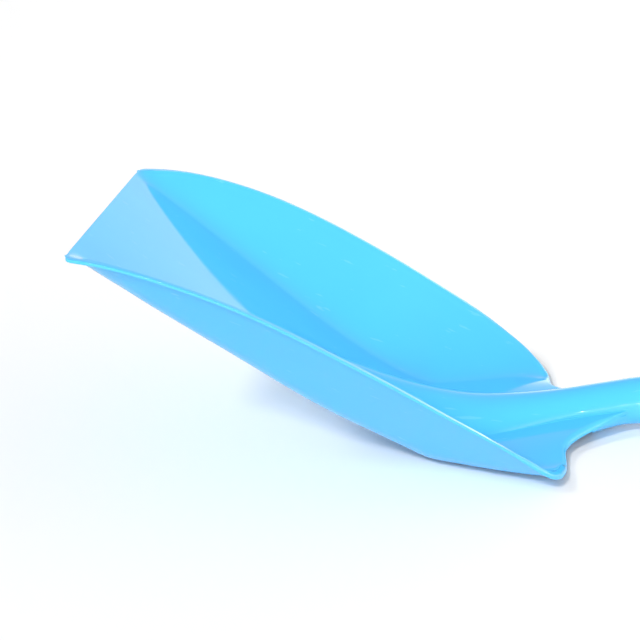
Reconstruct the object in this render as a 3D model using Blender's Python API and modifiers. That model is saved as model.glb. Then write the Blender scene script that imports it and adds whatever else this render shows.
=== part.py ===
"""Feed scoop: a one-piece moulded blade whose ridge runs back into a round socket, a stiffened tube handle
and a D-shaped grip, standing on its heel with the lip raised. Metres, +Z up.

The frame: the origin is on the table under the middle of the scoop's length, +X runs from the lip to the
grip, +Y is to the side, and the scoop is symmetric about the XZ plane.
"""

from math import cos, pi, radians, sin, sqrt, tan

import bmesh
import bpy
import numpy as np
from mathutils import Vector

GAP = 0.0003  # clearance between pieces that touch
WALL = 0.003  # thickness of the moulded sheet
CHAMFER = 0.0004  # at the ends of the tubes

# The blade, measured back from the lip and up from the table
LIP_HEIGHT = 0.147
LIP_HALF_WIDTH = 0.1116
FLOOR_PITCH = radians(35.8)  # how steeply the floor falls away from the lip
FLOOR_CURVE_START = 0.121  # where the floor starts to flatten out
FLOOR_CURVE = 3.05  # how fast it flattens, 1/m
BEND = 0.232  # the fold between the floor and the flat heel
BLADE_LENGTH = 0.310  # lip to the rear corners
CORNER_HALF_WIDTH = 0.079  # of the floor, at the rear corners
CORNER_RIM = 0.004  # how much wider the rim is there
FILLET = 0.011  # half the width of the rounding between floor and side
FILLET_SHARE = 0.7  # the most of a low side that the rounding takes

# x from the lip, half width of the floor, half width of the rim, height of the rim
SIDES = (
    (0.000, 0.1075, LIP_HALF_WIDTH, LIP_HEIGHT),
    (0.016, 0.1040, 0.1170, 0.1460),
    (0.061, 0.0949, 0.1237, 0.1368),
    (0.109, 0.0834, 0.1256, 0.1200),
    (0.157, 0.0728, 0.1256, 0.0968),
    (0.206, 0.0660, 0.1228, 0.0698),
    (0.231, 0.0679, 0.1209, 0.0550),
    (0.256, 0.0765, 0.1176, 0.0400),
    (0.280, 0.0835, 0.1110, 0.0242),
    (0.298, 0.0860, 0.1000, 0.0121),
    (0.306, 0.0830, 0.0900, 0.0070),
    (BLADE_LENGTH, CORNER_HALF_WIDTH, CORNER_HALF_WIDTH + CORNER_RIM, 0.0045),
)

# x from the lip, half width of the ridge, its height above the floor, how square its flanks are
RIDGE = (
    (0.000, 0.0100, 0.0000, 2.0),
    (0.105, 0.0110, 0.0000, 2.0),
    (0.140, 0.0210, 0.0030, 2.0),
    (0.166, 0.0270, 0.0102, 1.8),
    (0.187, 0.0300, 0.0146, 1.5),
    (0.209, 0.0315, 0.0185, 1.2),
    (0.232, 0.0312, 0.0193, 1.0),
    (0.256, 0.0290, 0.0172, 0.8),
    (0.275, 0.0240, 0.0165, 0.68),
    (0.296, 0.0188, 0.0158, 0.57),
    (0.317, 0.0162, 0.0156, 0.5),
    (0.3515, 0.0158, 0.0158, 0.5),
)

# The shoulders, which rise from the heel to the middle of the tube's side
TUBE_START = 0.3515  # where the tube closes, from the lip
AXIS_HEIGHT = 0.0190  # of the tube's middle line at TUBE_START
AXIS_RISE = radians(7.8)
TUBE_RADIUS = 0.0160
SHOULDER_START = 0.255
SHOULDER_GROWTH = 1.25  # over 1, they rise faster towards the tube
SHOULDER_FADE = 1.3  # over 1, they are hollow across
SKIRT = 0.0066  # height of the turned-down rear edge
SKIRT_LEAN = 0.0004
SKIRT_HEIGHT = 0.0008  # the least height of its lower edge above the table
CORNER_SKIRT_HEIGHT = 0.0020  # the same at the rear corners
LEAST_HEIGHT = 0.0006  # of the tube's underside above the table

# The rear edge
NOTCH = 0.307  # where it lies between the corners and the tube, from the lip
NOTCH_WIDTH = 0.041  # over which it runs back to the tube
NOTCH_BEND = 1.85
LOBE = 0.003  # how far the rear corners stand out from the notch
LOBE_START = 0.062

# The handle, measured along the tube from TUBE_START
SOCKET_LENGTH = 0.066
TUBE_RUN_IN = 0.006  # over which the blade's section becomes round
HANDLE_LENGTH = 0.048
GRIP_SOCKET_LENGTH = 0.040
RING_THICKNESS = 0.0016
CORE_START = 0.018
CORE_RADIUS = 0.0126
CORE_WALL = 0.0015
PLUG_LENGTH = 0.0063
PLUG_FLANGE = 0.0020
PLUG_CHAMFER = 0.0006
RIVET_RADIUS = 0.0020
RIVET_HEAD_RADIUS = 0.0042
RIVET_HEAD_HEIGHT = 0.0022
RIVET_HEAD_EDGE = 0.0007  # height of the head's upright rim
RIVET_HEAD_DOME = 0.0004  # how far the head still rises inside RIVET_HEAD_FLAT
RIVET_HEAD_FLAT = 0.0025
SOCKET_RIVETS = (0.040, 0.056)
HOLE_REACH = 0.030  # of a rivet's hole to each side of the middle
HOLE_TURN = radians(4)  # so that no facet of a hole lies along one of the tube that it goes through

# The grip
GRIP_LENGTH = 0.080  # from the end of its socket to the outside of the bar
GRIP_HALF_WIDTH = 0.056
GRIP_CORNER = 0.020
# The rounded end of its socket: x past the end, share of the socket's radius
GRIP_NOSE = ((-0.002, 1.0), (0.003, 0.93), (0.007, 0.72), (0.009, 0.4), (0.0095, 0.0))
BORE_OVERSHOOT = 0.010
GRIP_BORE_SHORT = 0.005  # how far the bore stops before the end of the socket
BAR_RADIUS = 0.0115
ARM_RADIUS = 0.0090
# The D's arm, from the socket outwards: x past the socket's end, y
ARM = ((0.001, 0.006), (0.007, 0.013), (0.017, 0.026), (0.029, 0.037))
ARM_END = 0.041
BAR_SHOULDER = 0.012  # from the corner's end to where the bar has its full thickness

RING_1 = SOCKET_LENGTH + GAP
HANDLE_START = RING_1 + RING_THICKNESS + GAP
RING_2 = HANDLE_START + HANDLE_LENGTH + GAP
GRIP_START = RING_2 + RING_THICKNESS + GAP
GRIP_SOCKET_END = GRIP_START + GRIP_SOCKET_LENGTH
GRIP_END = GRIP_SOCKET_END + GRIP_LENGTH
GRIP_RIVETS = (GRIP_START + 0.009, GRIP_START + 0.023)
CORE_END = GRIP_SOCKET_END - GRIP_BORE_SHORT - 0.001
BAR_HALF_LENGTH = GRIP_HALF_WIDTH - ARM_RADIUS - GRIP_CORNER - BAR_SHOULDER
LIP_OVERHANG = WALL * sin(FLOOR_PITCH)  # the underside of the lip reaches past its top
BAR_X = TUBE_START + (GRIP_END - BAR_RADIUS) * cos(AXIS_RISE)
TOTAL_LENGTH = LIP_OVERHANG + BAR_X + BAR_RADIUS
LIP_X = LIP_OVERHANG - TOTAL_LENGTH / 2

# How finely the blade is divided
ROWS = 34
ROW_SPREAD = 1.15  # over 1, the rows lie closer together towards the rear
ROW_BEND = 4  # how late the rows start to follow the rear edge
ROW_PASSES = 12  # a row's x and y depend on each other
RIDGE_STEPS = 8  # from the crest to the ridge's edge
FLOOR_STEPS = 7
FLOOR_SPREAD = 1.5  # over 1, they lie closer together beside the ridge
FILLET_STEPS = 5
SIDE_STEPS = 3
SKIRT_STEPS = 2
UNDER_ROWS = 3  # how many columns of the skirt the tube's underside reaches forward
UNDER_STEPS = 10
ROUND = 32  # sides of a round piece
CORNER_POINTS = 6

BLUE = (0.10, 0.53, 0.90, 1.0)


def start_scene():
    for old in list(bpy.data.objects):
        bpy.data.objects.remove(old, do_unlink=True)
    parts = bpy.data.collections.new("feed_scoop")
    cutters = bpy.data.collections.new("cutters")
    for collection in (parts, cutters):
        bpy.context.scene.collection.children.link(collection)
    return parts, cutters


def plastic(name, color, roughness):
    material = bpy.data.materials.new(name)
    material.use_nodes = True
    shader = material.node_tree.nodes["Principled BSDF"]
    shader.inputs["Base Color"].default_value = color
    shader.inputs["Roughness"].default_value = roughness
    shader.inputs["IOR"].default_value = 1.49
    return material


def metal(name, color, roughness):
    material = plastic(name, color, roughness)
    material.node_tree.nodes["Principled BSDF"].inputs["Metallic"].default_value = 1.0
    return material


def curve_through(table, column, x):
    """The value of a table's column at x, on a smooth curve through its rows."""
    xs = np.array([row[0] for row in table])
    ys = np.array([row[column] for row in table])
    slopes = np.gradient(ys, xs)
    x = min(max(x, xs[0]), xs[-1])
    i = min(int(np.searchsorted(xs, x, side="right")) - 1, len(xs) - 2)
    width = xs[i + 1] - xs[i]
    t = (x - xs[i]) / width
    start = ys[i] * (1 + 2 * t) * (1 - t) ** 2 + slopes[i] * width * t * (1 - t) ** 2
    end = ys[i + 1] * t * t * (3 - 2 * t) - slopes[i + 1] * width * t * t * (1 - t)
    return start + end


def floor_height(x):
    """The top of the floor at x from the lip: straight, then a curve, then the flat heel."""
    past = max(x - FLOOR_CURVE_START, 0)
    fall = x * tan(FLOOR_PITCH) - FLOOR_CURVE / 2 * past * past
    return max(LIP_HEIGHT - fall, WALL) if x < BEND else WALL


def shoulder_rise(x, y):
    """How far the rear panel has risen towards the tube."""
    reach = max(x - SHOULDER_START, 0) / (TUBE_START - SHOULDER_START)
    across = min(max(y - TUBE_RADIUS, 0) / (CORNER_HALF_WIDTH - TUBE_RADIUS), 1)
    return (AXIS_HEIGHT - WALL) * reach**SHOULDER_GROWTH * (1 - across) ** SHOULDER_FADE


def rear_edge(y):
    """x of the rear edge, from the lip, at a distance y from the middle."""
    across = min(max(y - TUBE_RADIUS, 0) / NOTCH_WIDTH, 1)
    lobe = min(max((y - LOBE_START) / (CORNER_HALF_WIDTH - LOBE_START), 0), 1)
    return NOTCH + (TUBE_START - NOTCH) * (1 - across) ** NOTCH_BEND + LOBE * lobe * lobe * (3 - 2 * lobe)


def sheet_point(x, y):
    """The top of the sheet, without the ridge, at x from the lip and y from the middle."""
    floor = floor_height(x) + shoulder_rise(x, y)
    half_floor = curve_through(SIDES, 1, x)
    half_rim = curve_through(SIDES, 2, x)
    rim = curve_through(SIDES, 3, x)
    run = half_rim - half_floor
    fillet = min(FILLET, run * FILLET_SHARE)
    beyond = y - half_floor
    if beyond > fillet:
        climb = beyond
    elif beyond > -fillet:
        climb = (beyond + fillet) ** 2 / (4 * fillet)
    else:
        climb = 0
    return floor + (rim - floor) * climb / run


def ridge_height(x, angle):
    height = curve_through(RIDGE, 2, x)
    return max(height, 0) * max(cos(angle), 0) ** (2 * curve_through(RIDGE, 3, x))


def columns():
    """How each column of the sheet lies from the crest outwards: ('ridge', angle), ('floor', share) ..."""
    found = [("ridge", pi / 2 * i / RIDGE_STEPS) for i in range(RIDGE_STEPS + 1)]
    found += [("floor", ((i + 1) / FLOOR_STEPS) ** FLOOR_SPREAD) for i in range(FLOOR_STEPS)]
    found += [("fillet", (i + 1) / FILLET_STEPS) for i in range(FILLET_STEPS)]
    found += [("side", (i + 1) / SIDE_STEPS) for i in range(SIDE_STEPS)]
    return found


def column_y(kind, share, x):
    """How far from the middle a column is at x from the lip."""
    edge = curve_through(RIDGE, 1, x)
    half_floor = curve_through(SIDES, 1, x)
    half_rim = curve_through(SIDES, 2, x)
    fillet = min(FILLET, (half_rim - half_floor) * FILLET_SHARE)
    inner, outer = half_floor - fillet, half_floor + fillet
    if kind == "ridge":
        return edge * sin(share)
    if kind == "floor":
        return edge + (inner - edge) * share
    if kind == "fillet":
        return inner + (outer - inner) * share
    return outer + (half_rim - outer) * share


def row_x(share, y):
    """x of a row at y: straight across at the lip, and bending to the rear edge at the back."""
    return share * BLADE_LENGTH + share**ROW_BEND * (rear_edge(y) - BLADE_LENGTH)


def sheet_vertex(kind, where, row):
    x = row * BLADE_LENGTH
    for _ in range(ROW_PASSES):
        y = column_y(kind, where, x)
        x = row_x(row, y)
    z = sheet_point(x, y)
    if kind == "ridge":
        z += ridge_height(x, where)
    return x, y, z


def strip(mesh, lines, closed=False):
    """Faces between neighbouring lines of vertices."""
    for a, b in zip(lines, lines[1:]):
        for i in range(len(a) if closed else len(a) - 1):
            j = (i + 1) % len(a)
            mesh.faces.new((a[i], a[j], b[j], b[i]))


def pan_grid(mesh):
    """Rows of vertices from the lip to the rear edge, each from the near rim to the far one."""
    grid = []
    for i in range(ROWS + 1):
        row = 1 - (1 - i / ROWS) ** ROW_SPREAD
        half = [sheet_vertex(kind, where, row) for kind, where in columns()]
        near = [mesh.verts.new((LIP_X + x, -y, z)) for x, y, z in reversed(half[1:])]
        grid.append(near + [mesh.verts.new((LIP_X + x, y, z)) for x, y, z in half])
    return grid


def skirt_lines(mesh, edge, side):
    """Vertices below the rear edge. The edge runs from the tube's side, where the skirt follows the tube."""
    lines = [edge]
    for step in range(1, SKIRT_STEPS + 1):
        line = []
        for i, top in enumerate(edge):
            least = CORNER_SKIRT_HEIGHT if i == len(edge) - 1 else SKIRT_HEIGHT
            drop = min(SKIRT, top.co.z - least) * step / SKIRT_STEPS
            if i == 0:
                shrink = sqrt(TUBE_RADIUS**2 - drop**2) - abs(top.co.y)
                line.append(mesh.verts.new(top.co + Vector((0, side * shrink, -drop))))
                continue
            after = edge[min(i + 1, len(edge) - 1)].co
            along = after - edge[i - 1].co
            out = Vector((abs(along.y), side * abs(along.x), 0)).normalized()
            line.append(mesh.verts.new(top.co + out * SKIRT_LEAN * step - Vector((0, 0, drop))))
        lines.append(line)
    return lines


def under_row(mesh, near, far):
    """Vertices of a trough under the tube between two points of the skirt's lower edge."""
    start = np.arcsin(SKIRT / TUBE_RADIUS)
    bottom = AXIS_HEIGHT - TUBE_RADIUS - (TUBE_START + LIP_X - near.co.x) * tan(AXIS_RISE)
    row = []
    for i in range(1, UNDER_STEPS):
        angle = start + (pi - 2 * start) * i / UNDER_STEPS
        across = cos(angle) / cos(start)
        depth = (sin(angle) - sin(start)) / (1 - sin(start))
        y = near.co.y * across
        z = near.co.z + (max(bottom, LEAST_HEIGHT) - near.co.z) * depth
        row.append(mesh.verts.new((near.co.x, y, z)))
    return [near] + row + [far]


def tube_row(mesh, ring, along):
    """The ring of vertices moved along the tube's axis and turned square to it."""
    start = Vector((LIP_X + TUBE_START, 0, AXIS_HEIGHT))
    axis = Vector((cos(AXIS_RISE), 0, sin(AXIS_RISE)))
    up = Vector((-sin(AXIS_RISE), 0, cos(AXIS_RISE)))
    moved = []
    for vertex in ring:
        offset = vertex.co - start
        out = Vector((0, offset.y, offset.z)).normalized() * TUBE_RADIUS
        place = start + axis * along + Vector((0, out.y, 0)) + up * out.z
        moved.append(mesh.verts.new(place))
    return moved


def blade_surface():
    """The open surface that the blade's wall follows: the pan, its skirt, and the tube behind it."""
    mesh = bmesh.new()
    grid = pan_grid(mesh)
    strip(mesh, grid)
    middle = len(columns()) - 1
    near = skirt_lines(mesh, grid[-1][middle - RIDGE_STEPS :: -1], -1)
    far = skirt_lines(mesh, grid[-1][middle + RIDGE_STEPS :], 1)
    strip(mesh, near)
    strip(mesh, far)
    troughs = [under_row(mesh, near[-1][i], far[-1][i]) for i in range(UNDER_ROWS + 1)]
    strip(mesh, troughs)
    over = grid[-1][middle - RIDGE_STEPS : middle + RIDGE_STEPS + 1]
    down = [line[0] for line in far[1:]]
    back = list(reversed(troughs[0][1:-1]))
    up = [line[0] for line in reversed(near[1:])]
    ring = over + down + back + up
    places = (TUBE_RUN_IN, SOCKET_LENGTH / 2, SOCKET_LENGTH)
    rings = [ring] + [tube_row(mesh, ring, along) for along in places]
    strip(mesh, rings, closed=True)
    bmesh.ops.recalc_face_normals(mesh, faces=mesh.faces)
    if grid[2][middle].link_faces[0].normal.z < 0:
        bmesh.ops.reverse_faces(mesh, faces=mesh.faces)
    return mesh


def mesh_object(name, mesh, material, collection):
    data = bpy.data.meshes.new(name)
    mesh.to_mesh(data)
    mesh.free()
    data.materials.append(material)
    data.shade_smooth()
    data.set_sharp_from_angle(angle=radians(35))
    made = bpy.data.objects.new(name, data)
    collection.objects.link(made)
    return made


def make_blade(material, parts):
    blade = mesh_object("blade", blade_surface(), material, parts)
    wall = blade.modifiers.new("wall", "SOLIDIFY")
    wall.thickness = WALL
    wall.offset = -1
    wall.use_even_offset = True
    return blade


def handle_axis(parts):
    """An empty whose +X runs along the handle, from where the blade's tube closes."""
    axis = bpy.data.objects.new("handle_axis", None)
    axis.location = (LIP_X + TUBE_START, 0, AXIS_HEIGHT)
    axis.rotation_euler = (0, -AXIS_RISE, 0)
    parts.objects.link(axis)
    return axis


def turned(name, outline, material, collection, axis, along=0, across=False):
    """A solid turned from (distance along, radius) points, lying along the handle or across it."""
    mesh = bmesh.new()
    verts = [mesh.verts.new((radius, 0, -distance)) for distance, radius in outline]
    for a, b in zip(verts, verts[1:]):
        mesh.edges.new((a, b))
    if outline[0][1] > 0 or outline[-1][1] > 0:
        mesh.edges.new((verts[-1], verts[0]))
    made = mesh_object(name, mesh, material, collection)
    screw = made.modifiers.new("turn", "SCREW")
    screw.steps = screw.render_steps = ROUND
    screw.use_merge_vertices = True
    screw.merge_threshold = 0.00001
    made.parent = axis
    made.location = (along, 0, 0)
    made.rotation_euler = (pi / 2, 0, 0) if across else (0, -pi / 2, 0)
    return made


def tube_outline(start, end, outer, inner):
    return (
        (start, inner),
        (start, outer - CHAMFER),
        (start + CHAMFER, outer),
        (end - CHAMFER, outer),
        (end, outer - CHAMFER),
        (end, inner),
    )


def cut(target, cutter):
    cutter.hide_render = True
    cutter.display_type = "WIRE"
    boolean = target.modifiers.new(cutter.name, "BOOLEAN")
    boolean.operation = "DIFFERENCE"
    boolean.object = cutter


def rivet_outline():
    head = TUBE_RADIUS + GAP
    top = head + RIVET_HEAD_HEIGHT
    return (
        (-top, 0),
        (-top + RIVET_HEAD_DOME, RIVET_HEAD_FLAT),
        (-head - RIVET_HEAD_EDGE, RIVET_HEAD_RADIUS),
        (-head, RIVET_HEAD_RADIUS),
        (-head, RIVET_RADIUS),
        (head, RIVET_RADIUS),
        (head, RIVET_HEAD_RADIUS),
        (head + RIVET_HEAD_EDGE, RIVET_HEAD_RADIUS),
        (top - RIVET_HEAD_DOME, RIVET_HEAD_FLAT),
        (top, 0),
    )


def make_core(alloy, grey, parts, axis):
    """The metal tube inside the handle, and the rubber plug that closes its end towards the blade."""
    bore = CORE_RADIUS - CORE_WALL
    outline = tube_outline(CORE_START, CORE_END, CORE_RADIUS, bore)
    core = turned("handle_core", outline, alloy, parts, axis)
    face = CORE_START - GAP
    plug = (
        (face - PLUG_FLANGE, 0),
        (face - PLUG_FLANGE, CORE_RADIUS - PLUG_CHAMFER),
        (face - PLUG_FLANGE + PLUG_CHAMFER, CORE_RADIUS),
        (face, CORE_RADIUS),
        (face, bore - GAP),
        (face + PLUG_LENGTH, bore - GAP),
        (face + PLUG_LENGTH + PLUG_CHAMFER, bore - GAP - PLUG_CHAMFER),
        (face + PLUG_LENGTH + PLUG_CHAMFER, 0),
    )
    turned("core_plug", plug, grey, parts, axis)
    return core


def make_sleeve(blue, grey, parts, axis):
    """The plastic tube over the core, and the rubber ring at each of its ends."""
    inner = CORE_RADIUS + GAP
    for name, start in (("blade_joint_ring", RING_1), ("grip_joint_ring", RING_2)):
        ring = tube_outline(start, start + RING_THICKNESS, TUBE_RADIUS, inner)
        turned(name, ring, grey, parts, axis)
    sleeve = tube_outline(HANDLE_START, HANDLE_START + HANDLE_LENGTH, TUBE_RADIUS, inner)
    turned("handle_tube", sleeve, blue, parts, axis)


def make_rivets(kind, places, held, steel, parts, cutters, axis):
    """Rivets across the handle, and their holes through each of the pieces that they hold."""
    radius = RIVET_RADIUS + GAP
    hole = ((-HOLE_REACH, 0), (-HOLE_REACH, radius), (HOLE_REACH, radius), (HOLE_REACH, 0))
    for number, place in enumerate(places, start=1):
        turned(f"{kind}_{number}", rivet_outline(), steel, parts, axis, place, across=True)
        cutter = turned(f"{kind}_hole_{number}", hole, steel, cutters, axis, place, across=True)
        cutter.rotation_euler.y = HOLE_TURN
        for piece in held:
            cut(piece, cutter)


def grip_path():
    """The D's middle line, from the socket round the bar and back, in the handle's own frame."""
    bar = GRIP_END - BAR_RADIUS
    side = GRIP_HALF_WIDTH - ARM_RADIUS
    half = [(GRIP_SOCKET_END + past, out) for past, out in ARM]
    half.append((GRIP_SOCKET_END + ARM_END, side))
    centre = (bar - GRIP_CORNER, side - GRIP_CORNER)
    for i in range(CORNER_POINTS):
        angle = pi / 2 * i / (CORNER_POINTS - 1)
        half.append((centre[0] + GRIP_CORNER * sin(angle), centre[1] + GRIP_CORNER * cos(angle)))
    half.append((bar, side - GRIP_CORNER - BAR_SHOULDER))
    return half + [(x, -y) for x, y in reversed(half)]


def grip_ring(parts):
    """The D as a tube along its path, thicker along the bar."""
    curve = bpy.data.curves.new("d_ring", "CURVE")
    curve.dimensions = "3D"
    curve.bevel_depth = ARM_RADIUS
    curve.bevel_resolution = 4
    curve.resolution_u = curve.render_resolution_u = 4
    spline = curve.splines.new("BEZIER")
    path = grip_path()
    spline.bezier_points.add(len(path) - 1)
    for point, (x, y) in zip(spline.bezier_points, path):
        point.co = (x, y, 0)
        point.handle_left_type = point.handle_right_type = "AUTO"
        on_bar = x > GRIP_SOCKET_END + ARM_END and abs(y) <= BAR_HALF_LENGTH
        point.radius = BAR_RADIUS / ARM_RADIUS if on_bar else 1.0
    spline.use_cyclic_u = True
    ring = bpy.data.objects.new("d_ring", curve)
    parts.objects.link(ring)
    return ring


def as_mesh(source, name, collection):
    """A mesh object with the shape of a curve object, which it takes the place of."""
    bpy.context.view_layer.update()
    graph = bpy.context.evaluated_depsgraph_get()
    data = bpy.data.meshes.new_from_object(source.evaluated_get(graph))
    mesh = bmesh.new()
    mesh.from_mesh(data)
    bmesh.ops.remove_doubles(mesh, verts=mesh.verts, dist=0.00001)
    mesh.to_mesh(data)
    mesh.free()
    data.name = name
    made = bpy.data.objects.new(name, data)
    made.matrix_world = source.matrix_world
    bpy.data.objects.remove(source, do_unlink=True)
    collection.objects.link(made)
    return made


def make_grip(material, parts, cutters, axis):
    """The socket with its web, joined to the D and bored for the core."""
    mouth = ((GRIP_START, 0), (GRIP_START, TUBE_RADIUS - CHAMFER), (GRIP_START + CHAMFER, TUBE_RADIUS))
    nose = tuple((GRIP_SOCKET_END + past, TUBE_RADIUS * share) for past, share in GRIP_NOSE)
    grip = turned("d_grip", mouth + nose, material, parts, axis)
    ring = as_mesh(grip_ring(parts), "d_ring_solid", cutters)
    ring.parent = axis
    ring.hide_render = True
    ring.display_type = "WIRE"
    union = grip.modifiers.new("ring", "BOOLEAN")
    union.operation = "UNION"
    union.object = ring
    start, end, radius = GRIP_START - BORE_OVERSHOOT, GRIP_SOCKET_END - GRIP_BORE_SHORT, CORE_RADIUS + GAP
    bore = ((start, 0), (start, radius), (end, radius), (end, 0))
    cut(grip, turned("grip_bore", bore, material, cutters, axis))
    return grip


def main():
    parts, cutters = start_scene()
    blue = plastic("blue_polypropylene", BLUE, 0.22)
    grey = plastic("grey_rubber", (0.07, 0.08, 0.09, 1.0), 0.6)
    alloy = metal("aluminium", (0.75, 0.76, 0.78, 1.0), 0.35)
    steel = metal("stainless_steel", (0.62, 0.62, 0.63, 1.0), 0.25)
    blade = make_blade(blue, parts)
    axis = handle_axis(parts)
    core = make_core(alloy, grey, parts, axis)
    make_sleeve(blue, grey, parts, axis)
    grip = make_grip(blue, parts, cutters, axis)
    make_rivets("socket_rivet", SOCKET_RIVETS, (blade, core), steel, parts, cutters, axis)
    make_rivets("grip_rivet", GRIP_RIVETS, (grip, core), steel, parts, cutters, axis)


main()
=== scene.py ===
"""Feed scoop, the looks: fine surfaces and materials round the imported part, and a plain white studio.

Metres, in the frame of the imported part: +X runs from the lip to the grip, +Z is up, and the scoop is the
same on both sides of the XZ plane. In the blade's own functions x is measured back from the lip.
"""

from math import cos, pi, radians, sin, tan

import bmesh
import bpy
import numpy as np
from mathutils import Matrix, Vector


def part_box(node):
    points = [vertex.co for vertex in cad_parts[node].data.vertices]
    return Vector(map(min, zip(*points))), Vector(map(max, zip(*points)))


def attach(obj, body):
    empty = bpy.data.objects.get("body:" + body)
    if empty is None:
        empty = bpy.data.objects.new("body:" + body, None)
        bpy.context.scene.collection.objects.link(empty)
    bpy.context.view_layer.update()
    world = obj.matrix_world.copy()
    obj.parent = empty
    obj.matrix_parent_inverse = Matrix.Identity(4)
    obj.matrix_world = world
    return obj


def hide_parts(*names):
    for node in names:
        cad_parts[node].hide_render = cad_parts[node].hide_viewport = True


MM = 0.001

# The sheet: x from the lip, half width of the floor, half width of the rim, height of the rim
SIDES = (
    (0.000, 0.0975, 0.1135, 0.1466),
    (0.016, 0.1000, 0.1170, 0.1457),
    (0.061, 0.0949, 0.1237, 0.1368),
    (0.109, 0.0834, 0.1256, 0.1200),
    (0.157, 0.0728, 0.1256, 0.0968),
    (0.206, 0.0660, 0.1228, 0.0698),
    (0.231, 0.0710, 0.1209, 0.0550),
    (0.256, 0.0785, 0.1176, 0.0400),
    (0.280, 0.0835, 0.1116, 0.0242),
    (0.292, 0.0820, 0.1065, 0.0160),
    (0.300, 0.0760, 0.0977, 0.0107),
    (0.304, 0.0710, 0.0885, 0.0085),
    (0.3065, 0.0660, 0.0788, 0.0069),
)
# The ridge: x from the lip, half width, height of its crest above the table, how square its flanks are
RIDGE = (
    (0.100, 0.0110, 0.0749, 2.0),
    (0.120, 0.0145, 0.0606, 2.0),
    (0.140, 0.0210, 0.0496, 2.0),
    (0.166, 0.0270, 0.0409, 1.8),
    (0.187, 0.0300, 0.0335, 1.5),
    (0.209, 0.0315, 0.0270, 1.2),
    (0.232, 0.0305, 0.0223, 1.0),
    (0.254, 0.0285, 0.0202, 0.8),
    (0.275, 0.0235, 0.0212, 0.68),
    (0.308, 0.0170, 0.0256, 0.54),
    (0.329, 0.0158, 0.0299, 0.5),
    (0.340, 0.0157, 0.0322, 0.5),
    (0.3515, 0.0156, 0.0346, 0.5),
)
RIDGE_START = RIDGE[0][0]
RIDGE_RUN_IN = 0.030
LIP_HEIGHT = SIDES[0][3]
HEEL_HEIGHT = 3 * MM  # top of the flat heel
FLOOR_PITCH = radians(35.8)
FLOOR_CURVE_START = 0.121
FLOOR_CURVE = 3.05
BEND_SOFTNESS = 2.0 * MM
BLADE_LENGTH = SIDES[-1][0]
FILLET = 11 * MM
FILLET_SHARE = 0.7
CREASE = 0.3 * MM  # how far the crease beside the ridge is filled

# Where the sheet becomes the tube
TUBE_START = 0.3515
TUBE_RADIUS = 0.0160
NECK_RADIUS = 0.0156
NECK_LENGTH = 0.016
AXIS_HEIGHT = 0.0190
AXIS_RISE = radians(7.8)
SOCKET_LENGTH = 0.066
SHOULDER_START = 0.255
SHOULDER_REACH = 0.090  # half width over which the shoulders fade out
SHOULDER_GROWTH = 1.25  # over 1, they rise faster towards the tube
SHOULDER_FADE = 1.75  # over 1, they stay high beside the tube
NOTCH = 0.3075  # x of the rear edge beside the corners
NOTCH_WIDTH = 0.041  # over which it runs back to the tube
NOTCH_BEND = 1.85
LOBE_START = 0.066  # beyond it the rear edge turns forward into the rim
LOBE_CURVE = 6.1
UNDER_REACH = 0.0270  # how far the tube's underside runs forward under the sheet

# The turned edge, from the inside outwards: a flat land, a rounded corner, a short drop
EDGE = 3.5 * MM
LIP_EDGE = 6.5 * MM  # at the lip's corner
LIP_EDGE_RUN = 0.045
LIP_CORNER = 4.5 * MM
CORNER_RADIUS = 0.4 * MM
ROLL_RADIUS = 3.3 * MM
RIM_DROP = 1.7 * MM
SKIRT_DROP = 4.4 * MM
SKIRT_WALL = 2.3 * MM
LEAST_HEIGHT = 0.8 * MM
CORNER_LEAST_HEIGHT = 1.6 * MM
CORNER_START = 0.055  # half width from where the rear edge lifts to that
CORNER_RUN = 0.020

LIP_WALL = 1.9 * MM
FLOOR_WALL = 3.0 * MM
SIDE_WALL = 2.3 * MM
TUBE_WALL = 3.0 * MM
THICKENING = (0.08, 0.22)  # where the floor gets its full thickness
RIM_INSET = 2.0 * MM  # from the rim's outside to the side wall's, under the rim
UNDERCUT = 0.2 * MM
ROLL_START = 0.255
ROLL_RUN = 0.045
EDGE_FADE = 0.014  # how far from the tube the turned edge starts to merge into it
LIP_FADE = 0.025  # how far from the lip the turned edge starts to point outwards
NOSE_BULGE = 0.6  # how far the lip's front is rounded, 1 for a half circle
TROUGH_BULGE = 0.8  # the same at the front of the tube's underside
HEM_BULGE = 0.5  # the same at the turned edge's lower side
NOSE_FADE = 12  # columns over which the rounding of the front fades out at the corner
TROUGH_FADE = 3
HEM_FADE = (10, 3)  # points, at the lip's corner and at the tube
CORNER_SMOOTHING = 15  # points of the outline that its direction is averaged over

# The pieces of the handle
GRIP_SOCKET = 0.040
GRIP_SOCKET_WALL = 3.1 * MM
GRIP_CORNER = 0.020
ARM_RADIUS = 9.0 * MM
BAR_RADIUS = 11.5 * MM
RIVET_RADIUS = 2.0 * MM
RIVET_HEAD = 4.2 * MM
RIVET_HEAD_HEIGHT = 2.2 * MM
RIVET_EDGE = 0.4 * MM
RIVET_DOME_STEPS = 10
TURNED_SIDES = 96
GRIP_VOXEL = 0.75 * MM
GRIP_SMOOTHING = 6

# The D's arm from the socket outwards: past its root, and out from the middle
ARM = ((0.0, 0.006), (0.006, 0.013), (0.016, 0.026), (0.028, 0.037))
ARM_ROOT = 1.0 * MM  # past the end of the socket
ARM_END = 0.040
ARM_INSET = 1.0 * MM  # of the arm's end from the D's widest line
BAR_SHOULDER = 0.012  # from the corner's end to where the bar has its full thickness
BAR_INSET = 0.1 * MM  # keeps the bar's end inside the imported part's box
CORNER_POINTS = 6
# The rounded end of the grip's socket: past its end, share of its radius
GRIP_NOSE = ((-0.002, 1.0), (0.003, 0.93), (0.007, 0.72), (0.009, 0.4), (0.0095, 0.0))
BORE_OVERSHOOT = 0.010
BORE_SHORT = 0.005  # how far the bore stops before the end of the socket
TUBE_EDGE = 0.6 * MM
RING_EDGE = 0.5 * MM

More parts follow.
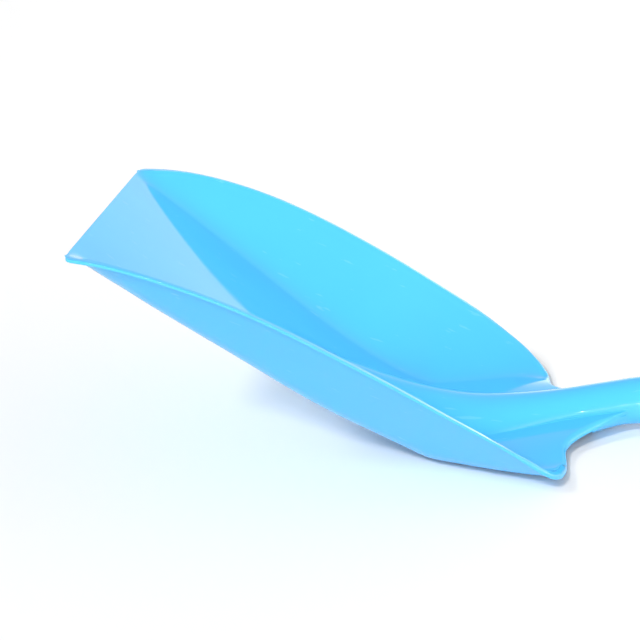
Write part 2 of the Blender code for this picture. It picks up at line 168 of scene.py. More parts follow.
# The camera, as the photograph was taken
CAMERA_PLACE = (-0.07736, -0.89085, 0.39345)
CAMERA_TURN = (radians(70.201), 0, radians(4.649))
CAMERA_LENS = 78.75

# The studio: how bright it is behind the scoop, on the handle's side, and low on that side
BACK_GLOW = 0.40
SIDE_GLOW = 0.58
LOW_GLOW = 6.9
GLOW_FALL = 4  # how fast the low glow fades upwards
LAMP_AIM = Vector((-0.12, 0, 0.05))
LAMP_DISTANCE = 1.6
SUN_ANGLE = radians(9)
SUNS = {
    "key": ((-0.67, -0.94, 1.0), 1.97),
    "left": ((-1.0, -0.3, 0.8), 1.19),
    "front": ((-0.2, -1.0, 0.5), 0.91),
}
# Small bright lamps low down behind the camera: towards where, and size
STRIPS = {
    "strip_1": ((0.068, -1.62, 0.184), 0.019),
    "strip_2": ((0.158, -1.62, 0.245), 0.013),
}
STRIP_GLOW = 500  # W per square metre and steradian
FLOOR_SIZE = 14

# How finely the blade is divided
ROWS = 230
LIP_CROWDING = 1.35  # over 1, the rows lie closer together at the lip
REAR_CROWDING = 1.15  # the same at the rear
FLOOR_CROWDING = 1.7  # the same for columns beside the ridge
ROW_BEND = 4  # how late the rows start to follow the rear edge
ROW_PASSES = 25  # a row's x and y depend on each other
OUTLINE_POINTS = (600, 200)  # along the side and across the rear
JOIN = 2e-6  # points closer than this are one
SHARP_ANGLE = radians(35)
GRIP_SHARP_ANGLE = radians(40)
RIDGE_COLUMNS = 18
FLOOR_COLUMNS = 18
FILLET_COLUMNS = 9
SIDE_COLUMNS = 14
ARC_STEPS = 6
DROP_STEPS = 3
UNDER_STEPS = 20
NECK_STEPS = 8
NOSE_STEPS = 6


def step(t):
    """0 to 1 and level at both ends, as t goes from 0 to 1."""
    t = np.clip(t, 0, 1)
    return t * t * (3 - 2 * t)


def curve_through(table, column):
    """A function of x that runs through a table's points, with no jump in how it bends."""
    xs = np.array([row[0] for row in table])
    ys = np.array([row[column] for row in table])
    gaps = np.diff(xs)
    rises = np.diff(ys) / gaps
    size = len(xs)
    system = np.zeros((size, size))
    wanted = np.zeros(size)
    for i in range(1, size - 1):
        system[i, i - 1 : i + 2] = gaps[i], 2 * (gaps[i - 1] + gaps[i]), gaps[i - 1]
        wanted[i] = 3 * (gaps[i] * rises[i - 1] + gaps[i - 1] * rises[i])
    for end, neighbour, rise in ((0, 1, rises[0]), (-1, -2, rises[-1])):
        system[end, end] = 2
        system[end, neighbour] = 1
        wanted[end] = 3 * rise
    slopes = np.linalg.solve(system, wanted)

    def value(x):
        x = np.clip(x, xs[0], xs[-1])
        i = np.clip(np.searchsorted(xs, x, side="right") - 1, 0, size - 2)
        t = (x - xs[i]) / gaps[i]
        start = ys[i] * (1 + 2 * t) + slopes[i] * gaps[i] * t
        end = ys[i + 1] * (3 - 2 * t) - slopes[i + 1] * gaps[i] * (1 - t)
        return start * (1 - t) ** 2 + end * t * t

    return value


half_floor = curve_through(SIDES, 1)
straight_rim = curve_through(SIDES, 2)
rim_height = curve_through(SIDES, 3)
ridge_half_width = curve_through(RIDGE, 1)
crest_height = curve_through(RIDGE, 2)
squareness = curve_through(RIDGE, 3)


def half_rim(x):
    """Half width over the rims, with the lip's corner rounded off."""
    short = np.clip(LIP_CORNER - x, 0, LIP_CORNER)
    return straight_rim(x) - LIP_CORNER + np.sqrt(LIP_CORNER**2 - short**2)


def floor_height(x):
    """The top of the floor: straight, then a curve, then a soft bend into the flat heel."""
    past = np.maximum(x - FLOOR_CURVE_START, 0)
    slope = LIP_HEIGHT - x * tan(FLOOR_PITCH) + FLOOR_CURVE / 2 * past**2
    return (slope + HEEL_HEIGHT + np.hypot(slope - HEEL_HEIGHT, BEND_SOFTNESS)) / 2


def shoulder_rise(x, y):
    """How far the rear panel has risen towards the tube."""
    reach = np.clip((x - SHOULDER_START) / (TUBE_START - SHOULDER_START), 0, 1)
    across = np.clip((y - TUBE_RADIUS) / (SHOULDER_REACH - TUBE_RADIUS), 0, 1)
    return (AXIS_HEIGHT - HEEL_HEIGHT) * reach**SHOULDER_GROWTH * (1 + np.cos(pi * across**SHOULDER_FADE)) / 2


def rear_edge(y):
    """x of the rear edge at a distance y from the middle."""
    across = np.clip((y - NECK_RADIUS) / NOTCH_WIDTH, 0, 1)
    past = np.maximum(y - LOBE_START, 0)
    return NOTCH + (TUBE_START - NOTCH) * (1 - across) ** NOTCH_BEND - LOBE_CURVE * past**2


class Outline:
    """The outer edge in plan, from the lip's corner to the tube, and the line that lies inside it by the
    width of the turned edge, where the sheet ends."""

    def __init__(self):
        along = np.linspace(0, BLADE_LENGTH, OUTLINE_POINTS[0])
        across = np.linspace(half_rim(BLADE_LENGTH), NECK_RADIUS, OUTLINE_POINTS[1])[1:]
        x = np.concatenate([along, rear_edge(across)])
        y = np.concatenate([half_rim(along), across])
        self.corner = len(along) - 1
        self.height = rim_height(along)
        out = np.stack([-np.gradient(y) * step(x / LIP_FADE), np.gradient(x)])
        out /= np.hypot(*out)
        smooth = np.ones(CORNER_SMOOTHING) / CORNER_SMOOTHING
        padded = np.pad(out, ((0, 0), (CORNER_SMOOTHING // 2,) * 2), mode="edge")
        out = np.array([np.convolve(row, smooth, mode="valid") for row in padded])
        self.out_x, self.out_y = out / np.hypot(*out)
        side = EDGE + (LIP_EDGE - EDGE) * (1 - step(x / LIP_EDGE_RUN))
        back = EDGE * step((y - NECK_RADIUS) / EDGE_FADE)
        self.width = np.where(np.arange(len(x)) < self.corner, side, back)
        self.x = x - self.out_x * self.width
        self.y = y - self.out_y * self.width
        self.length = self.x[self.corner]

    def rim(self, x):
        """Half width of the sheet at x."""
        return np.interp(x, self.x[: self.corner + 1], self.y[: self.corner + 1])

    def top(self, x):
        """Height of the sheet's side edge at x, which is the rim's height straight out from there."""
        return np.interp(x, self.x[: self.corner + 1], self.height)

    def rear(self, y):
        """x of the sheet's rear end at a distance y from the middle."""
        return np.interp(y, self.y[self.corner :][::-1], self.x[self.corner :][::-1])

    def at(self, x, y, behind):
        """The outward direction and the width of the turned edge, at points of the sheet's end."""
        found = []
        for values in (self.out_x, self.out_y, self.width):
            side = np.interp(x, self.x[: self.corner + 1], values[: self.corner + 1])
            back = np.interp(y, self.y[self.corner :][::-1], values[self.corner :][::-1])
            found.append(np.where(behind, back, side))
        return found


outline = Outline()


def sheet_height(x, y):
    """The top of the sheet at x from the lip and y from the middle: floor, side wall, shoulders and ridge."""
    flat = floor_height(x) + shoulder_rise(x, y)
    run = outline.rim(x) - half_floor(x)
    fillet = np.minimum(FILLET, run * FILLET_SHARE)
    beyond = y - half_floor(x)
    rounded = np.clip(beyond + fillet, 0, None) ** 2 / (4 * fillet)
    climb = np.where(beyond > fillet, beyond, rounded)
    sheet = flat + (outline.top(x) - flat) * climb / run

    base = floor_height(x) + shoulder_rise(x, 0)
    height = np.maximum(crest_height(x) - base, 0) * step((x - RIDGE_START) / RIDGE_RUN_IN)
    power = squareness(x)
    inside = 1 - (y / ridge_half_width(x)) ** 2
    soft = 2 * (CREASE / np.maximum(height, CREASE)) ** (1 / power)
    inside = np.clip((inside + np.hypot(inside, soft)) / 2, 0, 1)
    return sheet + height * inside**power


def column_places(x):
    """How far from the middle each column is, in rows where the columns are at x (rows, columns)."""
    edge, floor = ridge_half_width(x), half_floor(x)
    rim = outline.rim(x)
    fillet = np.minimum(FILLET, (rim - floor) * FILLET_SHARE)
    stops = [(0 * edge, edge, np.sin(np.linspace(0, pi / 2, RIDGE_COLUMNS + 1)))]
    stops.append((edge, floor - fillet, np.linspace(0, 1, FLOOR_COLUMNS + 1)[1:] ** FLOOR_CROWDING))
    stops.append((floor - fillet, floor + fillet, np.linspace(0, 1, FILLET_COLUMNS + 1)[1:]))
    stops.append((floor + fillet, rim, np.linspace(0, 1, SIDE_COLUMNS + 1)[1:]))
    places, first = [], 0
    for start, end, shares in stops:
        part = slice(first, first + len(shares))
        places.append(start[:, part] + (end - start)[:, part] * shares)
        first += len(shares)
    return np.concatenate(places, axis=1)


def half_sheet():
    """Points (rows, columns, 3) of the sheet's far half, from the crest outwards."""
    shares = 1 - (1 - np.linspace(0, 1, ROWS + 1) ** LIP_CROWDING) ** REAR_CROWDING
    columns = RIDGE_COLUMNS + 1 + FLOOR_COLUMNS + FILLET_COLUMNS + SIDE_COLUMNS
    x = np.repeat(shares[:, None] * outline.length, columns, axis=1)
    for _ in range(ROW_PASSES):
        y = column_places(x)
        bend = shares[:, None] ** ROW_BEND * (outline.rear(y) - outline.length)
        x = shares[:, None] * outline.length + bend
    return np.stack([x, y, sheet_height(x, y)], axis=2)


def edge_lines(end, behind):
    """The turned edge from the points (points, 3) where the sheet ends: lines outwards and down (lines,
    points, 3), the line of its inner bottom corner, and how far it is a roll and not a rim, 0 to 1."""
    x, y, z = end.T
    out_x, out_y, width = outline.at(x, y, behind)
    roll = step((x - ROLL_START) / ROLL_RUN)
    least = LEAST_HEIGHT + (CORNER_LEAST_HEIGHT - LEAST_HEIGHT) * step((y - CORNER_START) / CORNER_RUN)
    drop = np.minimum(RIM_DROP + (SKIRT_DROP - RIM_DROP) * roll, z - least)
    radius = CORNER_RADIUS + (ROLL_RADIUS - CORNER_RADIUS) * roll
    radius = np.minimum(radius, np.minimum(width, drop * 0.9))
    at_tube = np.where(behind, 1 - step((y - NECK_RADIUS) / EDGE_FADE), 0)

    def line(out, down):
        depth = np.minimum(down, NECK_RADIUS)
        reach = out - at_tube * (NECK_RADIUS - np.sqrt(NECK_RADIUS**2 - depth**2))
        return np.stack([x + out_x * reach, y + out_y * reach, z - down], axis=1)

    flat = width - radius
    lines = [line(flat * share, 0 * x) for share in (0, 0.5, 1)]
    for angle in np.linspace(0, pi / 2, ARC_STEPS + 1)[1:]:
        lines.append(line(flat + radius * sin(angle), radius * (1 - cos(angle))))
    for share in np.linspace(0, 1, DROP_STEPS + 1)[1:]:
        lines.append(line(width, radius + (drop - radius) * share))
    wall = SKIRT_WALL + (TUBE_WALL - SKIRT_WALL) * at_tube
    inset = RIM_INSET + (wall - RIM_INSET) * roll
    inner = line(width - inset, drop + UNDERCUT * (1 - roll))
    return np.array(lines), inner, roll


def normals(points):
    """Unit normals of a grid of points (rows, columns, 3) whose first column is on the plane of symmetry."""
    mirrored = points[:, 1:2] * (1, -1, 1)
    wide = np.concatenate([mirrored, points], axis=1)
    down_rows, along_rows = np.gradient(wide, axis=0), np.gradient(wide, axis=1)
    found = np.cross(down_rows, along_rows)[:, 1:]
    return found / np.linalg.norm(found, axis=2, keepdims=True)


def underside(sheet, inner, roll):
    """The lower side of the sheet (rows, columns, 3), which stops at the turned edge's inner corner."""
    x = sheet[..., 0]
    wall = LIP_WALL + (FLOOR_WALL - LIP_WALL) * step((x - THICKENING[0]) / (THICKENING[1] - THICKENING[0]))
    wall_foot = sheet.shape[1] - 1 - SIDE_COLUMNS
    up_the_side = np.clip(np.arange(sheet.shape[1]) - wall_foot, 0, None) / SIDE_COLUMNS
    wall = wall + (np.minimum(SIDE_WALL, wall) - wall) * up_the_side
    under = sheet - normals(sheet) * wall[..., None]
    corner = inner[: len(sheet), None]
    above = (under[..., 2] > corner[..., 2]) & (under[..., 1] > corner[..., 1] - UNDERCUT)
    stopped = above & (up_the_side > 0.5) & (roll[: len(sheet), None] < 0.5)
    return np.where(stopped[..., None], corner, under)


def bridge(start, end, out, bulge):
    """Lines that round an edge between two lines of points: (lines, points, 3)."""
    middle, half = (start + end) / 2, (start - end) / 2
    reach = np.linalg.norm(half, axis=1, keepdims=True) * np.reshape(bulge, (-1, 1))
    angles = np.linspace(0, pi, NOSE_STEPS + 1)
    return np.array([middle + half * cos(angle) + out * reach * sin(angle) for angle in angles])


def trough(start, lift):
    """Rows of points under the tube's beginning, from the turned edge's corner to the middle."""
    turn = np.arcsin(SKIRT_DROP / NECK_RADIUS)
    angles = np.linspace(turn, pi / 2, UNDER_STEPS + 1)
    across = np.cos(angles) / cos(turn)
    depth = (np.sin(angles) - sin(turn)) / (1 - sin(turn))
    x, y, z = start.T[..., None]
    bottom = AXIS_HEIGHT - NECK_RADIUS - (TUBE_START - x) * tan(AXIS_RISE)
    bottom = np.maximum(bottom, LEAST_HEIGHT) + lift
    return np.stack([x + 0 * across, y * across, z + (bottom - z) * depth], axis=2)


def tube_rings(ring, inset):
    """The half ring of points moved along the handle's axis and turned square to it (rings, points, 3)."""
    axis = np.array((cos(AXIS_RISE), 0, sin(AXIS_RISE)))
    up = np.array((-sin(AXIS_RISE), 0, cos(AXIS_RISE)))
    start = np.array((TUBE_START, 0, AXIS_HEIGHT))
    offset = (ring - start) * (0, 1, 1)
    offset /= np.linalg.norm(offset, axis=1, keepdims=True)
    rings = [ring]
    neck = np.linspace(0, NECK_LENGTH, NECK_STEPS + 1)[2:]
    for along in np.concatenate([neck, [SOCKET_LENGTH / 2, SOCKET_LENGTH]]):
        radius = NECK_RADIUS + (TUBE_RADIUS - NECK_RADIUS) * step(along / NECK_LENGTH) - inset
        out = offset[:, 1:2] * (0, 1, 0) + offset[:, 2:3] * up
        rings.append(start + axis * along + out * radius)
    return np.array(rings)


def blade_patches():
    """Grids of points (rows, columns, 3) that together close the far half of the blade."""
    sheet = half_sheet()
    rim, rear = sheet[:, -1], sheet[-1, -2 : RIDGE_COLUMNS - 1 : -1]
    behind = np.arange(len(rim) + len(rear)) >= len(rim)
    end = np.concatenate([rim, rear])
    lines, inner_corner, roll = edge_lines(end, behind)
    under = underside(sheet, inner_corner, roll)
    under_end = np.concatenate([under[:, -1], under[-1, -2 : RIDGE_COLUMNS - 1 : -1]])
    shares = np.linspace(0, 1, len(lines))[:, None, None]
    inner = under_end + (inner_corner - under_end) * shares

    first = int(np.argmax(behind & (end[:, 0] > TUBE_START - UNDER_REACH)))
    down = np.array((0, 0, -1.0))
    past = np.arange(first + 1)
    fade = step(past / HEM_FADE[0]) * step((first - past) / HEM_FADE[1])
    hem = bridge(lines[-1][: first + 1], inner[-1][: first + 1], down, fade * HEM_BULGE)
    below, above = trough(lines[-1][first:], 0), trough(inner[-1][first:], TUBE_WALL)
    forward = np.array((-1.0, 0, 0))
    front = bridge(below[0], above[0], forward, step(np.arange(UNDER_STEPS + 1) / TROUGH_FADE) * TROUGH_BULGE)

    top_chain = np.concatenate([sheet[0], lines[1:, 0]])
    low_chain = np.concatenate([under[0], inner[1:, 0]])
    ahead = np.array((-cos(FLOOR_PITCH), 0, sin(FLOOR_PITCH)))
    left = len(top_chain) - 1 - np.arange(len(top_chain))
    nose = bridge(top_chain, low_chain, ahead, NOSE_BULGE * step(left / NOSE_FADE))

    outer_ring = np.concatenate([sheet[-1, : RIDGE_COLUMNS + 1], lines[1:, -1], below[-1][1:]])
    inner_ring = np.concatenate([under[-1, : RIDGE_COLUMNS + 1], inner[1:, -1], above[-1][1:]])
    tube, bore = tube_rings(outer_ring, 0), tube_rings(inner_ring, TUBE_WALL)
    mouth = np.array([tube[-1], bore[-1]])
    return [sheet, under, lines, inner, hem, below, above, front, nose, tube, bore, mouth]


def mesh_from_patches(name, patches, material, lip_x):
    """One closed mesh of the patches and their reflections, with coincident points joined."""
    mesh = bmesh.new()
    for points in patches:
        for side in (1, -1):
            rows = [[mesh.verts.new((lip_x + x, side * y, z)) for x, y, z in row] for row in points]
            for a, b in zip(rows, rows[1:]):
                for i in range(len(a) - 1):
                    mesh.faces.new((a[i], a[i + 1], b[i + 1], b[i]))
    bmesh.ops.remove_doubles(mesh, verts=mesh.verts, dist=JOIN)
    bmesh.ops.recalc_face_normals(mesh, faces=mesh.faces)
    return finished(name, mesh, material)


def finished(name, mesh, material):
    data = bpy.data.meshes.new(name)
    mesh.to_mesh(data)
    mesh.free()
    data.materials.append(material)
    data.shade_smooth()
    data.set_sharp_from_angle(angle=SHARP_ANGLE)
    piece = bpy.data.objects.new(name, data)
    bpy.context.scene.collection.objects.link(piece)
    return piece


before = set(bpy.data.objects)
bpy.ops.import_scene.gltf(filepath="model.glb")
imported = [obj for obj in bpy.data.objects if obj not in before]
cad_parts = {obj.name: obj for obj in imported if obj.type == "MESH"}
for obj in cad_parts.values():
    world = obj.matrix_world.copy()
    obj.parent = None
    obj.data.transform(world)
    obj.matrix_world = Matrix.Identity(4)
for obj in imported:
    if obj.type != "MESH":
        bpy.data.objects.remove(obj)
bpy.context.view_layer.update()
LIP_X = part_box("blade")[0].x + HEEL_HEIGHT * sin(FLOOR_PITCH)
HANDLE = Matrix.Translation((LIP_X + TUBE_START, 0, AXIS_HEIGHT)) @ Matrix.Rotation(-AXIS_RISE, 4, "Y")


def make_camera():
    data = bpy.data.cameras.new("camera")
    data.lens = CAMERA_LENS
    camera = bpy.data.objects.new("camera", data)
    camera.location = CAMERA_PLACE
    camera.rotation_euler = CAMERA_TURN
    bpy.context.scene.collection.objects.link(camera)
    bpy.context.scene.camera = camera


def shader_nodes(name, color, roughness, metallic=0.0, ior=1.49):
    """A new material, its node tree, and its shader with the values that are the same all over."""
    material = bpy.data.materials.new(name)
    material.use_nodes = True
    tree = material.node_tree
    shader = tree.nodes["Principled BSDF"]
    shader.inputs["Base Color"].default_value = (*color, 1)
    shader.inputs["Roughness"].default_value = roughness
    shader.inputs["Metallic"].default_value = metallic
    shader.inputs["IOR"].default_value = ior
    return material, tree, shader


def noise(tree, scale, detail=3.0, stretch=(1, 1, 1)):
    """The output of a noise texture laid through the object's own space."""
    place = tree.nodes.new("ShaderNodeTexCoord")
    mapping = tree.nodes.new("ShaderNodeMapping")
    mapping.inputs["Scale"].default_value = stretch
    texture = tree.nodes.new("ShaderNodeTexNoise")
    texture.inputs["Scale"].default_value = scale
    texture.inputs["Detail"].default_value = detail
    tree.links.new(place.outputs["Object"], mapping.inputs["Vector"])
    tree.links.new(mapping.outputs["Vector"], texture.inputs["Vector"])
    return texture.outputs["Fac"]


def calculated(tree, operation, *values):
    """The output of a math node that works on sockets and plain numbers."""
    node = tree.nodes.new("ShaderNodeMath")
    node.operation = operation
    for socket, value in zip(node.inputs, values):
        if isinstance(value, (int, float)):
            socket.default_value = value
        else:
            tree.links.new(value, socket)
    return node.outputs["Value"]


def spread(tree, value, low, high, start=0.3, end=0.7):
    """A number that goes from low to high as value goes from start to end."""
    node = tree.nodes.new("ShaderNodeMapRange")
    node.inputs["From Min"].default_value = start
    node.inputs["From Max"].default_value = end
    node.inputs["To Min"].default_value = low
    node.inputs["To Max"].default_value = high
    tree.links.new(value, node.inputs["Value"])
    return node.outputs["Result"]


def mixed(tree, share, first, second):
    """A colour between two, by share."""
    node = tree.nodes.new("ShaderNodeMix")
    node.data_type = "RGBA"
    tree.links.new(share, node.inputs["Factor"])
    for socket, color in ((node.inputs[6], first), (node.inputs[7], second)):
        if isinstance(color, tuple):
            socket.default_value = (*color, 1)
        else:
            tree.links.new(color, socket)
    return node.outputs[2]


def bumped(tree, shader, height, strength, distance):
    node = tree.nodes.new("ShaderNodeBump")
    node.inputs["Strength"].default_value = strength
    node.inputs["Distance"].default_value = distance
    tree.links.new(height, node.inputs["Height"])
    tree.links.new(node.outputs["Normal"], shader.inputs["Normal"])


def blue_plastic(name):
    """Glossy moulded polypropylene: faint flow marks in its colour, an uneven gloss, fine scuffs along its
    length, and edges rubbed paler."""
    material, tree, shader = shader_nodes(name, (0.07, 0.46, 0.85), 0.06)
    marks = spread(tree, noise(tree, 9, 2, (1, 2.5, 1)), 0, 1)
    flow = mixed(tree, marks, (0.068, 0.45, 0.84), (0.072, 0.47, 0.86))
    edges = tree.nodes.new("ShaderNodeNewGeometry").outputs["Pointiness"]
    worn = mixed(tree, spread(tree, edges, 0, 0.3, 0.54, 0.64), flow, (0.22, 0.6, 0.92))
    scuffs = noise(tree, 36, 3, (1, 11, 3))
    color = mixed(tree, spread(tree, scuffs, 0, 0.22, 0.68, 0.72), worn, (0.26, 0.62, 0.92))
    tree.links.new(color, shader.inputs["Base Color"])
    gloss = spread(tree, noise(tree, 60), 0.05, 0.08)
    rough = calculated(tree, "ADD", gloss, spread(tree, scuffs, 0, 0.12, 0.66, 0.72))
    tree.links.new(rough, shader.inputs["Roughness"])
    bumped(tree, shader, noise(tree, 420, 1), 0.02, 0.0003)
    return material


def rubber(name):
    """Dark blue-grey rubber, matt, with a fine grain."""
    material, tree, shader = shader_nodes(name, (0.03, 0.045, 0.06), 0.6)
    grain = noise(tree, 900, 2)
    color = mixed(tree, spread(tree, grain, 0, 1), (0.025, 0.04, 0.055), (0.04, 0.055, 0.07))
    tree.links.new(color, shader.inputs["Base Color"])
    tree.links.new(spread(tree, noise(tree, 150), 0.5, 0.7), shader.inputs["Roughness"])
    bumped(tree, shader, grain, 0.15, 0.0002)
    return material


def brushed_metal(name, color, roughness, stretch):
    """Metal with fine marks along one direction."""
    material, tree, shader = shader_nodes(name, color, roughness, metallic=1)
    marks = noise(tree, 700, 2, stretch)
    darker = tuple(0.85 * part for part in color)
    tree.links.new(mixed(tree, spread(tree, marks, 0, 1), darker, color), shader.inputs["Base Color"])
    tree.links.new(spread(tree, marks, roughness * 0.8, roughness * 1.3), shader.inputs["Roughness"])
    bumped(tree, shader, marks, 0.08, 0.0001)
    return material


def span(node):
    """Where a CAD node starts and ends along the handle's axis, and how far it reaches from it."""
    back = HANDLE.inverted()
    points = np.array([back @ vertex.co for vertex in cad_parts[node].data.vertices])
    return points[:, 0].min(), points[:, 0].max(), np.hypot(points[:, 1], points[:, 2]).max()


def rounded_corner(corner, before, after, radius):
    """Points of an arc that rounds an outline's corner."""
    corner, before, after = Vector(corner), Vector(before), Vector(after)
    start = corner + (before - corner).normalized() * radius
    end = corner + (after - corner).normalized() * radius
    shares = [i / ARC_STEPS for i in range(ARC_STEPS + 1)]
    return [start * (1 - t) ** 2 + corner * 2 * t * (1 - t) + end * t * t for t in shares]


def turned(name, outline, material, place, radius=0.0):
    """A solid turned from an outline of (along, out) points, with its corners off the axis rounded. An
    outline that starts and ends on the axis makes a solid piece, and any other is closed into a ring."""
    solid = outline[0][1] == 0
    points = []
    for i, point in enumerate(outline):
        if point[1] == 0 or not radius:
            points.append(Vector(point))
        else:
            points += rounded_corner(point, outline[i - 1], outline[(i + 1) % len(outline)], radius)
    mesh = bmesh.new()
    rings = []
    for k in range(TURNED_SIDES):
        angle = 2 * pi * k / TURNED_SIDES
        rings.append([mesh.verts.new(place @ Vector((a, r * sin(angle), r * cos(angle)))) for a, r in points])
    last = len(points) - 1 if solid else len(points)
    for k, ring in enumerate(rings):
        after = rings[(k + 1) % TURNED_SIDES]
        for i in range(last):
            j = (i + 1) % len(points)
            mesh.faces.new((ring[i], ring[j], after[j], after[i]))
    bmesh.ops.remove_doubles(mesh, verts=mesh.verts, dist=JOIN)
    bmesh.ops.recalc_face_normals(mesh, faces=mesh.faces)
    return finished(name, mesh, material)


def placed(piece, node):
    """A piece that takes the place of one node."""
    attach(piece, "root")
    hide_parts(node)


def tube_outline(start, end, outer, inner):
    return ((start, inner), (start, outer), (end, outer), (end, inner))


def make_rivet(node, material):
    """A rivet right through the handle, with a domed head on each side."""
    low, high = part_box(node)
    middle = (low + high) / 2
    along = (HANDLE.inverted() @ middle).x
    place = HANDLE @ Matrix.Translation((along, 0, 0)) @ Matrix.Rotation(pi / 2, 4, "Z")
    reach = (high.y - low.y) / 2
    under = reach - RIVET_HEAD_HEIGHT
    dome = []
    for i in range(RIVET_DOME_STEPS + 1):
        angle = pi / 2 * i / RIVET_DOME_STEPS
        rise = (RIVET_HEAD_HEIGHT - RIVET_EDGE) * sin(angle)
        dome.append((under + RIVET_EDGE + rise, RIVET_HEAD * cos(angle)))
    half = [(under, RIVET_RADIUS), (under, RIVET_HEAD)] + dome[:-1]
    outline = [(-reach, 0)] + [(-a, r) for a, r in reversed(half)] + half + [(reach, 0)]
    placed(turned("scoop_" + node, outline, material, place), node)


def ring_path(start, end, half_width):
    """The D's middle line: points beside the axis on one side, with the radius at each."""
    bar, side = end - BAR_RADIUS - BAR_INSET, half_width - ARM_RADIUS
    root = start + GRIP_SOCKET + ARM_ROOT
    points = [(root + along, out, ARM_RADIUS) for along, out in ARM]
    points.append((root + ARM_END, side - ARM_INSET, ARM_RADIUS))
    for i in range(CORNER_POINTS):
        angle = pi / 2 * i / (CORNER_POINTS - 1)
        out, ahead = cos(angle), sin(angle)
        points.append((bar - GRIP_CORNER * (1 - ahead), side - GRIP_CORNER * (1 - out), ARM_RADIUS))
    points.append((bar, side - GRIP_CORNER - BAR_SHOULDER, BAR_RADIUS))
    return points


def make_ring(start, end, half_width):
    """The D as a smooth tube that is thicker along the bar."""
    half = ring_path(start, end, half_width)
    path = half + [(x, -y, radius) for x, y, radius in reversed(half)]
    curve = bpy.data.curves.new("grip_ring", "CURVE")
    curve.dimensions = "3D"
    curve.bevel_depth = 1
    curve.bevel_resolution = 14
    curve.resolution_u = curve.render_resolution_u = 14
    spline = curve.splines.new("BEZIER")
    spline.bezier_points.add(len(path) - 1)
    for point, (x, y, radius) in zip(spline.bezier_points, path):
        point.co = (x, y, 0)
        point.handle_left_type = point.handle_right_type = "AUTO"
        point.radius = radius
    spline.use_cyclic_u = True
    return bpy.data.objects.new("grip_ring", curve)


def evaluated_mesh(piece):
    bpy.context.view_layer.update()
    graph = bpy.context.evaluated_depsgraph_get()
    return bpy.data.meshes.new_from_object(piece.evaluated_get(graph))


def make_grip(material):
    """The D-grip: its ring and socket melted into one skin, smoothed, and bored for the core."""
    start, end, _ = span("d_grip")
    half_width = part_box("d_grip")[1].y
    socket_end = start + GRIP_SOCKET
    nose = tuple((socket_end + past, TUBE_RADIUS * share) for past, share in GRIP_NOSE)
    socket = turned("scoop_grip", ((start, 0), (start, TUBE_RADIUS), *nose), material, Matrix.Identity(4))
    ring = make_ring(start, end, half_width)
    bpy.context.scene.collection.objects.link(ring)
    mesh = bmesh.new()
    mesh.from_mesh(socket.data)
    mesh.from_mesh(evaluated_mesh(ring))
    mesh.to_mesh(socket.data)
    mesh.free()
    bpy.data.objects.remove(ring)

    remesh = socket.modifiers.new("skin", "REMESH")
    remesh.mode = "VOXEL"
    remesh.voxel_size = GRIP_VOXEL
    smooth = socket.modifiers.new("smooth", "SMOOTH")
    smooth.factor = 0.5
    smooth.iterations = GRIP_SMOOTHING
    bore_radius = TUBE_RADIUS - GRIP_SOCKET_WALL
    front, back = start - BORE_OVERSHOOT, socket_end - BORE_SHORT
    bore_outline = ((front, 0), (front, bore_radius), (back, bore_radius), (back, 0))
    bore = turned("grip_bore", bore_outline, material, Matrix.Identity(4))
    cut = socket.modifiers.new("bore", "BOOLEAN")
    cut.operation = "DIFFERENCE"
    cut.object = bore
    data = evaluated_mesh(socket)
    data.transform(HANDLE)
    socket.modifiers.clear()
    socket.data = data
    bpy.data.objects.remove(bore)
    data.shade_smooth()
    data.set_sharp_from_angle(angle=GRIP_SHARP_ANGLE)
    placed(socket, "d_grip")


def make_handle(blue):
    """The tube between the sockets, its rubber rings, its rivets, and the core inside them."""
    grey = rubber("grey_rubber")
    alloy = brushed_metal("aluminium", (0.75, 0.76, 0.78), 0.3, (0.03, 1, 1))
    steel = brushed_metal("stainless_steel", (0.62, 0.62, 0.63), 0.22, (1, 1, 0.1))
    start, end, outer = span("handle_tube")
    sleeve = tube_outline(start, end, outer, outer - TUBE_WALL)
    tube = turned("scoop_handle_tube", sleeve, blue, HANDLE, TUBE_EDGE)
    placed(tube, "handle_tube")
    for node in ("blade_joint_ring", "grip_joint_ring"):
        start, end, outer = span(node)
        inner = outer - TUBE_WALL
        ring = turned("scoop_" + node, tube_outline(start, end, outer, inner), grey, HANDLE, RING_EDGE)
        placed(ring, node)
    for node in ("socket_rivet_1", "socket_rivet_2", "grip_rivet_1", "grip_rivet_2"):
        make_rivet(node, steel)
    for node, material in (("handle_core", alloy), ("core_plug", grey)):
        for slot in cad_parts[node].material_slots:
            slot.material = material


def make_floor():
    bpy.ops.mesh.primitive_plane_add(size=FLOOR_SIZE, location=(0, 0, 0))
    floor = bpy.context.object
    floor.name = "floor"
    material, tree, shader = shader_nodes("white_table", (0.87, 0.87, 0.87), 0.45)
    floor.data.materials.append(material)


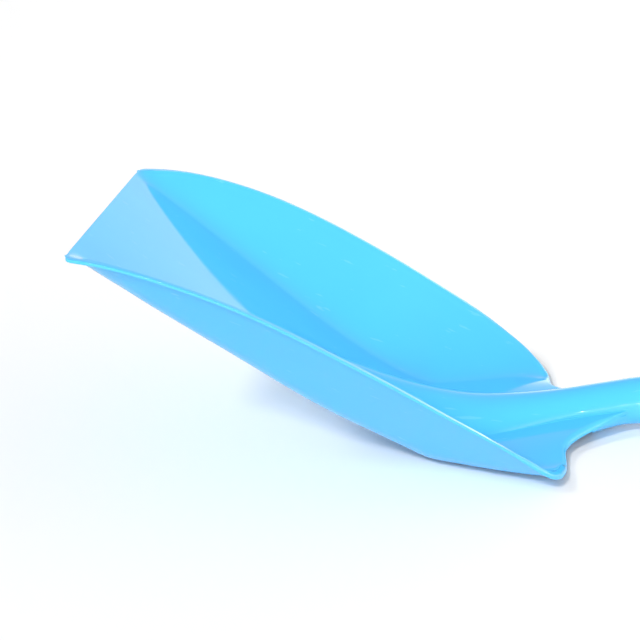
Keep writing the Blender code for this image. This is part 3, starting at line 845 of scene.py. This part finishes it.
def facing(tree, part):
    """1 towards one end of an axis and 0 towards the other."""
    half = calculated(tree, "MULTIPLY_ADD", part, 0.5, 0.5)
    return calculated(tree, "POWER", half, 2)


def make_world():
    """A white studio that is brightest low down on the handle's side."""
    world = bpy.data.worlds.new("studio")
    bpy.context.scene.world = world
    world.use_nodes = True
    tree = world.node_tree
    place = tree.nodes.new("ShaderNodeTexCoord")
    parts = tree.nodes.new("ShaderNodeSeparateXYZ")
    tree.links.new(place.outputs["Generated"], parts.inputs["Vector"])
    x, y, z = (parts.outputs[name] for name in "XYZ")
    above = calculated(tree, "MAXIMUM", z, 0)
    low = calculated(tree, "POWER", calculated(tree, "SUBTRACT", 1, above), GLOW_FALL)
    side = calculated(tree, "MULTIPLY_ADD", low, LOW_GLOW, SIDE_GLOW)
    behind = calculated(tree, "MULTIPLY", facing(tree, y), BACK_GLOW)
    strength = calculated(tree, "MULTIPLY_ADD", facing(tree, x), side, behind)
    tree.links.new(strength, tree.nodes["Background"].inputs["Strength"])
    tree.nodes["Background"].inputs["Color"].default_value = (1, 1, 1, 1)


def placed_lamp(name, kind, towards, energy):
    """The data of a new lamp that shines at the blade's middle from that side."""
    data = bpy.data.lights.new(name, kind)
    data.energy = energy
    lamp = bpy.data.objects.new(name, data)
    way = Vector(towards).normalized()
    lamp.location = LAMP_AIM + way * LAMP_DISTANCE
    lamp.rotation_euler = way.to_track_quat("Z", "Y").to_euler()
    bpy.context.scene.collection.objects.link(lamp)
    return data


def make_lights():
    for name, (towards, energy) in SUNS.items():
        placed_lamp(name, "SUN", towards, energy).angle = SUN_ANGLE
    for name, (place, size) in STRIPS.items():
        strip = placed_lamp(name, "AREA", Vector(place) - LAMP_AIM, pi * STRIP_GLOW * size**2)
        strip.size = size


make_camera()
bpy.context.scene.view_settings.view_transform = "Standard"
make_world()
make_floor()
make_lights()

blue = blue_plastic("blue_polypropylene")
blade = mesh_from_patches("scoop_blade", blade_patches(), blue, LIP_X)
placed(blade, "blade")
make_handle(blue)
make_grip(blue)
